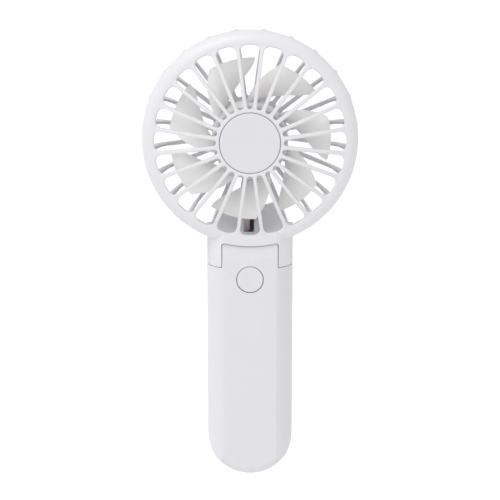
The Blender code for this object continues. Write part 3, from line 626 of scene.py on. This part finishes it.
def rear_grille():
    """Rear basket and neck, with the leads' room, window and channels."""
    part = rear_basket()
    combine(part, rear_neck(), "UNION")
    near_x = EAR_X - 0.1
    gap_top_z = HINGE_Z + LUG_R + GAP
    combine(part, block("barrel_gap", (-near_x, 1.5, UNDER_NECK_Z), (near_x, FAR_Y, gap_top_z)))
    combine(part, plate("wire_room", rim_chord(46.7, 12.8, 110.0), "XZ", 2.4, 12.8))
    combine(part, block("wire_window", WINDOW_LOW, WINDOW_HIGH))
    combine(part, block("cup_notch", (-4, 8, FAN_Z - 16), (4, 12.2, FAN_Z - 12)))
    centre = (0, HINGE_Y, HINGE_Z)
    combine(part, cylinder("ear_bores", PIN_R + 0.03, -16.9, 16.9, centre, "x"))
    for side in (-1, 1):
        place = (side * HEAD_SCREW_X, 0, HEAD_SCREW_Z)
        combine(part, cylinder("bore", HEAD_BORE_R, -4, 12.5, place, steps=24))
        combine(part, cylinder("seat", SCREW_SEAT_R, 9.5, 16, place, steps=32))
    combine(part, block("ear_channel", (-18.7, 4.5, 105.2), (-16.8, 8.0, 117.4)))
    combine(part, block("ear_crossing", (-18.5, 4.7, 115.6), (-12.5, 7.8, 117.4)))
    return part


def centre_disc():
    """Flat cap with a soft edge, set a hair behind the ring."""
    edge_r, back_y = 0.35, FRONT_Y + 1.05
    edge = arc((DISC_R - edge_r, FRONT_Y + edge_r), edge_r, 0, -90, 4)
    profile = [(0, back_y), (DISC_R, back_y)] + edge
    profile += [(r, FRONT_Y + 0.02 * (1 - (r / DISC_R) ** 2)) for r in (12.0, 9.0, 6.0, 3.0, 0.0)]
    return turned("centre_disc_fine", profile, (0, 0, FAN_Z), "y", 128)


# ---------------------------------------------------------------- impeller
BLADES = 7
BLADE_T = 1.2
BLADE_ROOT = 0.6                    # how deep a blade sits in the hub
ROOT_REACH, TIP_LOSS = 9.4, 3.0     # depth from edge to edge at the hub, and what the tip has less


def blade_edges(radius):
    """Clockwise angles in degrees of a blade's trailing and leading edges."""
    t = (radius - HUB_R) / (BLADE_R - HUB_R)
    return -6.0 + 27.5 * t, 13.0 + 42.0 * (1.0 - max(0.0, 1.0 - t) ** 2)


def blade(turn):
    """One swept and twisted blade, thin at its edges."""
    rows, columns = 26, 15
    verts, faces = [], []
    for face in (-1, 1):
        for i in range(rows):
            share = i / (rows - 1)
            radius = HUB_R - BLADE_ROOT + (BLADE_R - HUB_R + BLADE_ROOT) * share
            trailing, leading = blade_edges(max(radius, HUB_R))
            reach = ROOT_REACH - TIP_LOSS * share
            for j in range(columns):
                s = j / (columns - 1)
                angle = math.radians(turn + trailing + (leading - trailing) * s)
                thin = min(1.0, 0.35 + 3.0 * min(s, 1 - s, (1 - share) * 1.4 + 0.02)) * BLADE_T / 2
                y = -2.2 + reach * (s - 0.5) - 1.2 * math.sin(math.pi * s) + face * thin
                verts.append((radius * math.sin(angle), y, FAN_Z + radius * math.cos(angle)))
    sheet = rows * columns
    for base, flip in ((0, 1), (sheet, -1)):
        for i in range(rows - 1):
            for j in range(columns - 1):
                a = base + i * columns + j
                faces.append((a, a + 1, a + columns + 1, a + columns)[::flip])
    rim = list(range(columns)) + [i * columns + columns - 1 for i in range(1, rows)]
    rim += [(rows - 1) * columns + j for j in range(columns - 2, -1, -1)]
    rim += [i * columns for i in range(rows - 2, 0, -1)]
    for a, b in zip(rim, rim[1:] + rim[:1]):
        faces.append((a, b, b + sheet, a + sheet))
    return weld(new_object("blade", verts, faces))


def impeller():
    """Hub cup with its boss and seven blades."""
    front, back, wall, face, edge_r = HUB_FRONT_Y, 3.0, 1.2, 1.4, 1.6
    boss_y, bore_r, bore_y = -5.2, 1.05, -9.2
    profile = [(0, front)] + arc((HUB_R - edge_r, front + edge_r), edge_r, -90, 0, 8)
    profile += [(HUB_R, back), (HUB_R - wall, back), (HUB_R - wall, front + face), (3.0, front + face),
                (2.8, boss_y), (bore_r, boss_y), (bore_r, bore_y), (0, bore_y)]
    part = turned("impeller_fine", profile, (0, 0, FAN_Z), "y", 144)
    for index in range(BLADES):
        combine(part, blade(360.0 * index / BLADES), "UNION")
    return part


# ---------------------------------------------------------------- handle
END_ROUND = 4.5          # rounding round the handle's lower end
CREST_Y = 1.0            # the tongue's top runs back level to here, then round the hinge
EASE_Z, EASE_H = 105, 8  # where the tongue's face starts to fall back, and over what height
TONGUE_ROOM_X = 11.3


def handle_half(name, low_y, high_y):
    """One half of the handle, still solid, with its half of the hinge tongue."""
    part = plate(name, body_section(), "XY", 0.0, 118.0)
    outline = plate("outline", handle_outline(), "XZ", FACE_Y, BACK_Y)
    soften(outline, END_ROUND, 8, 40)
    combine(part, outline, "INTERSECT")
    combine(part, block("half", (-FAR_X, low_y, -10), (FAR_X, high_y, FAR_Z)), "INTERSECT")
    seat_y = HINGE_Y - math.sqrt((LUG_R + GAP) ** 2 - (HINGE_Z - EAR_Z + GAP) ** 2)
    start = math.degrees(math.atan2(EAR_Z - GAP - HINGE_Z, seat_y - HINGE_Y)) % 360
    seat = [(-FAR_Y, FAR_Z), (-FAR_Y, EAR_Z - GAP)]
    seat += arc((HINGE_Y, HINGE_Z), LUG_R + GAP, start, 270, 24)
    seat += [(FAR_X, HINGE_Z - LUG_R - GAP), (FAR_X, FAR_Z)]
    for side in (-1, 1):
        near, far = sorted((side * TONGUE_X, side * FAR_X))
        combine(part, plate("seat", seat, "YZ", near, far))
    tongue = rim_chord(POCKET_R + SEAM, TONGUE_X, 80.0, TONGUE_CORNER)
    room = plate("lip_room", [(-25, 80), (25, 80), (25, FAR_Z), (-25, FAR_Z)], "XZ", -FAR_Y, CREST_Y)
    lip = plate("lip", tongue, "XZ", -FAR_Y - 1, CREST_Y + 1)
    below = block("below", (-25, -FAR_Y - 1, 70), (25, CREST_Y + 1, EAR_Z - GAP))
    combine(lip, below, "UNION")
    combine(room, lip)
    combine(part, room)
    rise = math.degrees(math.asin((CREST_Y - HINGE_Y) / LUG_R))
    over = [(CREST_Y, FAR_Z)] + arc((HINGE_Y, HINGE_Z), LUG_R, 90 - rise, 0, 40)
    over += [(FAR_X, HINGE_Z), (FAR_X, FAR_Z)]
    combine(part, plate("over", over, "YZ", -FAR_X, FAR_X))
    ease = [(-12, EASE_Z), (FACE_Y, EASE_Z)]
    ease += [(FACE_Y + TONGUE_EASE * s ** 2, EASE_Z + EASE_H * s) for s in np.linspace(0.08, 1, 16)]
    ease += [(FACE_Y + TONGUE_EASE, 118), (-12, 118)]
    combine(part, plate("ease", ease, "YZ", -20, 20))
    return part


def hollow(part):
    """Cut the cavity for the cell and boards, and the one inside the tongue."""
    cavity = plate("cavity", body_section(WALL, 12), "XY", -1.0, 96.5)
    inner = plate("inner", handle_outline(WALL, steps=32), "XZ", FACE_Y + WALL, BACK_Y - WALL)
    soften(inner, END_ROUND - WALL, 3, 40)
    combine(cavity, inner, "INTERSECT")
    combine(part, cavity)
    x, front, back = TONGUE_ROOM_X, FACE_Y + WALL, BACK_Y - WALL
    combine(part, block("root_room", (-x, front, 95), (x, back, HINGE_Z)))
    combine(part, block("lip_room", (-x, front, 100), (x, BODY_Y, 110.5)))
    combine(part, cylinder("barrel_room", LUG_R - WALL, -x, x, (0, HINGE_Y, HINGE_Z), "x", 32))
    return part


def screw_places():
    """The four handle screws' axes, left side first, lower one first."""
    return [(side * SCREW_X, 0, z) for side in (-1, 1) for z in SCREW_ZS]


def usb_opening():
    x, front, back = USB_LENGTH_X, BODY_Y - USB_DEPTH_Y, BODY_Y + USB_DEPTH_Y
    outline = [(-x, front), (x, front), (x, back), (-x, back)]
    for index in (3, 2, 1, 0):
        outline = round_corner(outline, index, USB_CORNER)
    return plate("usb_opening", outline, "XY", -2.0, 3.0)


def front_shell():
    part = handle_half("front_shell_fine", -FAR_Y, BODY_Y - GAP / 2)
    combine(part, cylinder("hole", BUTTON_HOLE_R, -12, -6, (0, 0, BUTTON_Z), steps=96))
    soften(part, SHELL_EDGE, 2, 60)
    hollow(part)
    for place in screw_places():
        combine(part, cylinder("boss", 2.4, -6.2, BODY_Y - GAP / 2, place, steps=32), "UNION")
        combine(part, cylinder("thread", 0.9, -3.5, 10, place, steps=16))
    return combine(part, usb_opening())


def rear_shell():
    part = handle_half("rear_shell_fine", BODY_Y + GAP / 2, FAR_Y)
    for place in screw_places():
        combine(part, cylinder("mouth", SCREW_SEAT_R, SCREW_SEAT_Y, FAR_Y, place, steps=32))
    soften(part, SHELL_EDGE, 2, 60)
    hollow(part)
    for place in screw_places():
        combine(part, cylinder("boss", 2.6, BODY_Y + GAP / 2, 12.0, place, steps=32), "UNION")
        combine(part, cylinder("pass", 1.3, 0, FAR_Y, place, steps=24))
        combine(part, cylinder("seat", SCREW_SEAT_R, SCREW_SEAT_Y, FAR_Y, place, steps=32))
    combine(part, cylinder("pin_bore", PIN_R + 0.05, -13.5, 13.5, (0, HINGE_Y, HINGE_Z), "x", 48))
    return combine(part, usb_opening())


def power_button():
    """Round cap, very slightly dished, with a soft edge, a flange and a stem."""
    edge_r, flange_r, flange_y, stem_r, stem_y = 0.5, 7.2, -6.2, 1.4, -5.4
    edge = arc((BUTTON_R - edge_r, FACE_Y + edge_r), edge_r, -90, 0, 6)
    dish = [(r, FACE_Y + 0.12 * (1 - (r / 5.4) ** 2)) for r in np.linspace(0, 5.2, 8)]
    profile = dish + edge + [(BUTTON_R, -7.0), (flange_r, -7.0), (flange_r, flange_y), (stem_r, flange_y)]
    profile += [(stem_r, stem_y), (0, stem_y)]
    return turned("power_button_fine", profile, (0, 0, BUTTON_Z), "y", 96)


def screw(name, place, head_y, tip_y):
    """Pan-head screw driven from the back, with a cross recess."""
    head_r, shank_r, side_h, crown_h = 1.9, 0.85, 0.45, 0.85
    profile = [(0, tip_y), (shank_r * 0.4, tip_y), (shank_r, tip_y + 0.7)]
    profile += [(shank_r, head_y), (head_r, head_y), (head_r, head_y + side_h)]
    profile += [(head_r * math.cos(t), head_y + side_h + crown_h * math.sin(t))
                for t in np.radians((20, 40, 60, 78))]
    profile.append((0, head_y + SCREW_HEAD_H))
    part = turned(name, profile, place, "y", 40)
    x, _, z = place
    for w, h in ((0.28, 1.15), (1.15, 0.28)):
        combine(part, block("cross", (x - w, head_y + 0.55, z - h), (x + w, head_y + 2, z + h)))
    return part


# ---------------------------------------------------------------- materials
def node_tree(name):
    mat = bpy.data.materials.new(name)
    mat.use_nodes = True
    return mat, mat.node_tree, mat.node_tree.nodes["Principled BSDF"]


def noise(tree, coords, scale, detail):
    node = tree.nodes.new("ShaderNodeTexNoise")
    node.inputs["Scale"].default_value = scale
    node.inputs["Detail"].default_value = detail
    tree.links.new(coords, node.inputs["Vector"])
    return node.outputs["Fac"]


def map_range(tree, value, source, target):
    """The value, taken from one range to another and held within it."""
    node = tree.nodes.new("ShaderNodeMapRange")
    keys = ("From Min", "From Max", "To Min", "To Max")
    for key, number in zip(keys, (*source, *target)):
        node.inputs[key].default_value = number
    tree.links.new(value, node.inputs["Value"])
    return node.outputs["Result"]


def between(tree, factor, start, end):
    """A value between start and end, over the middle of a noise's range."""
    return map_range(tree, factor, (0.3, 0.7), (start, end))


def two_tones(tree, factor, first, second):
    """A mix of two colours; the first may be a socket."""
    node = tree.nodes.new("ShaderNodeMix")
    node.data_type = "RGBA"
    share, start, end = (node.inputs[i] for i in (0, 6, 7))     # the colour sockets of the node
    if isinstance(first, tuple):
        start.default_value = (*first, 1.0)
    else:
        tree.links.new(first, start)
    end.default_value = (*second, 1.0)
    tree.links.new(factor, share)
    return node.outputs[2]


def vector_math(tree, operation, vector, constant=None):
    node = tree.nodes.new("ShaderNodeVectorMath")
    node.operation = operation
    tree.links.new(vector, node.inputs[0])
    if constant:
        node.inputs[1].default_value = constant
    return node


def separate(tree, vector):
    node = tree.nodes.new("ShaderNodeSeparateXYZ")
    tree.links.new(vector, node.inputs[0])
    return node


def painted_zone_mask(tree, coords, radii, limits):
    """A mask for painted light and shade, fading out past a distance from the fan's axis and past limits along Y
    or Z.
    """
    def fade(value, start, end):
        return map_range(tree, value, (start * MM, end * MM), (1.0, 0.0))

    offset = vector_math(tree, "SUBTRACT", coords, (0.0, 0.0, FAN_Z * MM))
    flat = vector_math(tree, "MULTIPLY", offset.outputs[0], (1.0, 0.0, 1.0))
    length = vector_math(tree, "LENGTH", flat.outputs[0])
    split = separate(tree, coords)
    mask = fade(length.outputs["Value"], *radii)
    for axis, start, end in limits:
        both = tree.nodes.new("ShaderNodeMath")
        both.operation = "MULTIPLY"
        tree.links.new(mask, both.inputs[0])
        tree.links.new(fade(split.outputs[axis], start, end), both.inputs[1])
        mask = both.outputs[0]
    return mask


ROUGH_DRIFT = 0.04
SLOW_SCALE, PATCH_SCALE = 45.0, 320.0


def finish_material(name, colour, roughness, metallic=0.0, drift=0.02, grain_scale=3200.0,
                    grain=0.00002, subsurface=0.0, zone=None):
    """A surface with a fine grain, a slow change of tone and uneven gloss.

    zone paints light or shade: the radii and limits of a mask, and the colour's share within it, above one for
    painted light and below one for painted shade.
    """
    mat, tree, shader = node_tree(name)
    coords = tree.nodes.new("ShaderNodeTexCoord").outputs["Object"]
    slow = between(tree, noise(tree, coords, SLOW_SCALE, 3.0), 0.0, 1.0)
    darker = tuple(c * (1 - drift) for c in colour)
    lighter = tuple(min(1.0, c * (1 + drift)) for c in colour)
    tone = two_tones(tree, slow, darker, lighter)
    if zone:
        # painted light or shade: the colour is lighter or darker within the zone's mask
        radii, limits, share = zone
        mask = painted_zone_mask(tree, coords, radii, limits)
        tone = two_tones(tree, mask, tone, tuple(c * share for c in colour))
    tree.links.new(tone, shader.inputs["Base Color"])
    patches = noise(tree, coords, PATCH_SCALE, 4.0)
    gloss = between(tree, patches, roughness - ROUGH_DRIFT, roughness + ROUGH_DRIFT)
    tree.links.new(gloss, shader.inputs["Roughness"])
    bump = tree.nodes.new("ShaderNodeBump")
    bump.inputs["Strength"].default_value = 0.35
    bump.inputs["Distance"].default_value = grain
    tree.links.new(noise(tree, coords, grain_scale, 2.0), bump.inputs["Height"])
    tree.links.new(bump.outputs["Normal"], shader.inputs["Normal"])
    shader.inputs["Metallic"].default_value = metallic
    shader.inputs["Subsurface Weight"].default_value = subsurface
    shader.inputs["Subsurface Scale"].default_value = 0.002
    return mat


SHELL = (0.638, 0.634, 0.656)
WHITE_KINDS = {
    "shell_white": (SHELL, 0.42),
    "basket_white": (SHELL, 0.42),
    "grille_white": ((0.665, 0.661, 0.685), 0.40),
    "disc_white": ((0.640, 0.636, 0.664), 0.46),
    "blade_white": ((0.83, 0.83, 0.822), 0.55),
    "button_white": (SHELL, 0.38),
}
# radii, limits along an axis, and the colour's share within them; each zone is painted light or painted shade
# painted light: the inside of the rear basket, round the wire panel, is made lighter where light falls into it
PANEL_PAINTED_LIGHT_ZONE = ((46.6, 47.2), (("Y", 12.8, 14.2), ("Z", 126.0, 134.0)), 1.29)
# painted shade: the hub and the blade roots are darker, for the shade behind the centre disc
HUB_PAINTED_SHADE_ZONE = ((17.7, 19.5), (), 0.84)
DETAIL_KINDS = {
    "steel": dict(colour=(0.56, 0.56, 0.58), roughness=0.30, metallic=1.0, grain_scale=1800.0),
    "dark_steel": dict(colour=(0.22, 0.22, 0.23), roughness=0.42, metallic=1.0),
    "bronze": dict(colour=(0.60, 0.40, 0.21), roughness=0.45, metallic=1.0, drift=0.08),
    "nickel": dict(colour=(0.70, 0.68, 0.63), roughness=0.26, metallic=1.0),
    "board_green": dict(colour=(0.03, 0.17, 0.08), roughness=0.38, drift=0.12),
    "black_plastic": dict(colour=(0.022, 0.022, 0.024), roughness=0.5, drift=0.1),
    "ivory_plastic": dict(colour=(0.70, 0.67, 0.60), roughness=0.5),
    "cell_wrap": dict(colour=(0.05, 0.22, 0.46), roughness=0.33, drift=0.04),
    "foam": dict(colour=(0.045, 0.045, 0.05), roughness=0.92, grain=0.0002, grain_scale=1400.0, drift=0.2),
    "rubber": dict(colour=(0.04, 0.04, 0.042), roughness=0.78, drift=0.12),
    "red_sleeve": dict(colour=(0.20, 0.012, 0.018), roughness=0.42, drift=0.06),
    "black_sleeve": dict(colour=(0.014, 0.014, 0.015), roughness=0.42, drift=0.06),
}


def all_materials():
    mats = {}
    # painted shade on the hub and painted light inside the rear basket
    zones = {"blade_white": HUB_PAINTED_SHADE_ZONE, "basket_white": PANEL_PAINTED_LIGHT_ZONE}
    for name, (colour, roughness) in WHITE_KINDS.items():
        mats[name] = finish_material(name, colour, roughness, drift=0.008, subsurface=0.06,
                                     zone=zones.get(name))
    for name, values in DETAIL_KINDS.items():
        mats[name] = finish_material(name, **values)
    return mats


# ---------------------------------------------------------------- stage
def floor():
    """A large pale floor well below the hand-held fan."""
    size, drop = 40.0, 0.10     # metres
    bpy.ops.mesh.primitive_grid_add(x_subdivisions=4, y_subdivisions=4, size=size,
                                    location=(0, 0, -drop))
    obj = bpy.context.object
    obj.name = "floor"
    mat, _, shader = node_tree("floor_paper")
    shader.inputs["Base Color"].default_value = (0.90, 0.90, 0.90, 1.0)
    shader.inputs["Roughness"].default_value = 0.9
    obj.data.materials.append(mat)


def lights():
    """A white surround, dimmer on the right, and one broad soft light from high on the left."""
    world = bpy.data.worlds.new("studio")
    bpy.context.scene.world = world
    world.use_nodes = True
    background = world.node_tree.nodes["Background"]
    background.inputs["Color"].default_value = (1.0, 1.0, 1.0, 1.0)
    tree = world.node_tree
    direction = tree.nodes.new("ShaderNodeTexCoord").outputs["Generated"]
    across = separate(tree, direction).outputs["X"]
    strength = map_range(tree, across, (-1.0, 1.0), (1.02, 0.80))
    tree.links.new(strength, background.inputs["Strength"])
    data = bpy.data.lights.new("key", "SUN")
    data.energy = 1.25
    data.angle = math.radians(35)
    obj = bpy.data.objects.new("key", data)
    bpy.context.scene.collection.objects.link(obj)
    obj.rotation_euler = Vector((0.33, 0.43, -0.84)).to_track_quat("-Z", "Y").to_euler()


def camera():
    """The fitted viewpoint: 13.5 degrees above the fan, level with its middle across."""
    distance, elevation = 0.8, math.radians(13.54)
    target = Vector((0.0, 0.0, 0.1095))
    data = bpy.data.cameras.new("camera")
    data.sensor_width = 36.0
    data.lens = 122.2
    data.clip_start, data.clip_end = 0.01, 50.0
    obj = bpy.data.objects.new("camera", data)
    bpy.context.scene.collection.objects.link(obj)
    back = Vector((0, -math.cos(elevation), math.sin(elevation)))
    obj.location = target + back * distance
    obj.rotation_euler = (-back).to_track_quat("-Z", "Y").to_euler()
    bpy.context.scene.camera = obj


# ---------------------------------------------------------------- assembly
def dress_cad(mats):
    """Give every CAD node that stays its finish."""
    slots = {row["node"]: row["material_slot"] for row in frame["record"]["subparts"]}
    for name, obj in frame["nodes"].items():
        if obj.hide_render:
            continue
        finish(obj, mats[slots[name]], 35.0)


def build(mats):
    pieces = [
        (front_grille, "head", "grille_white", "front_grille"),
        (rear_grille, "head", "shell_white", "rear_grille"),
        (centre_disc, "head", "disc_white", "centre_disc"),
        (impeller, "rotor", "blade_white", "impeller"),
        (front_shell, "handle", "shell_white", "front_shell"),
        (rear_shell, "handle", "shell_white", "rear_shell"),
        (power_button, "button", "button_white", "power_button"),
    ]
    for make, body, slot, node in pieces:
        # the rear grille takes basket_white, which carries the painted light inside the basket
        material = mats["basket_white"] if node == "rear_grille" else mats[slot]
        dress(make(), body, material, node, 18.0 if body == "handle" else 28.0)
    for side, label in ((-1, "left"), (1, "right")):
        screws = [(f"head_screw_{label}", "head", side * HEAD_SCREW_X, HEAD_SCREW_Z)]
        for level, z in zip(("lower", "upper"), SCREW_ZS):
            screws.append((f"handle_screw_{level}_{label}", "handle", side * SCREW_X, z))
        for node, body, x, z in screws:
            piece = screw(f"{node}_fine", (x, 0, z), high(node, "y") - SCREW_HEAD_H, low(node, "y"))
            dress(piece, body, mats["steel"], node)


materials = all_materials()
build(materials)
dress_cad(materials)
floor()
lights()
camera()
bpy.context.scene.view_settings.view_transform = "Standard"
bpy.context.view_layer.update()
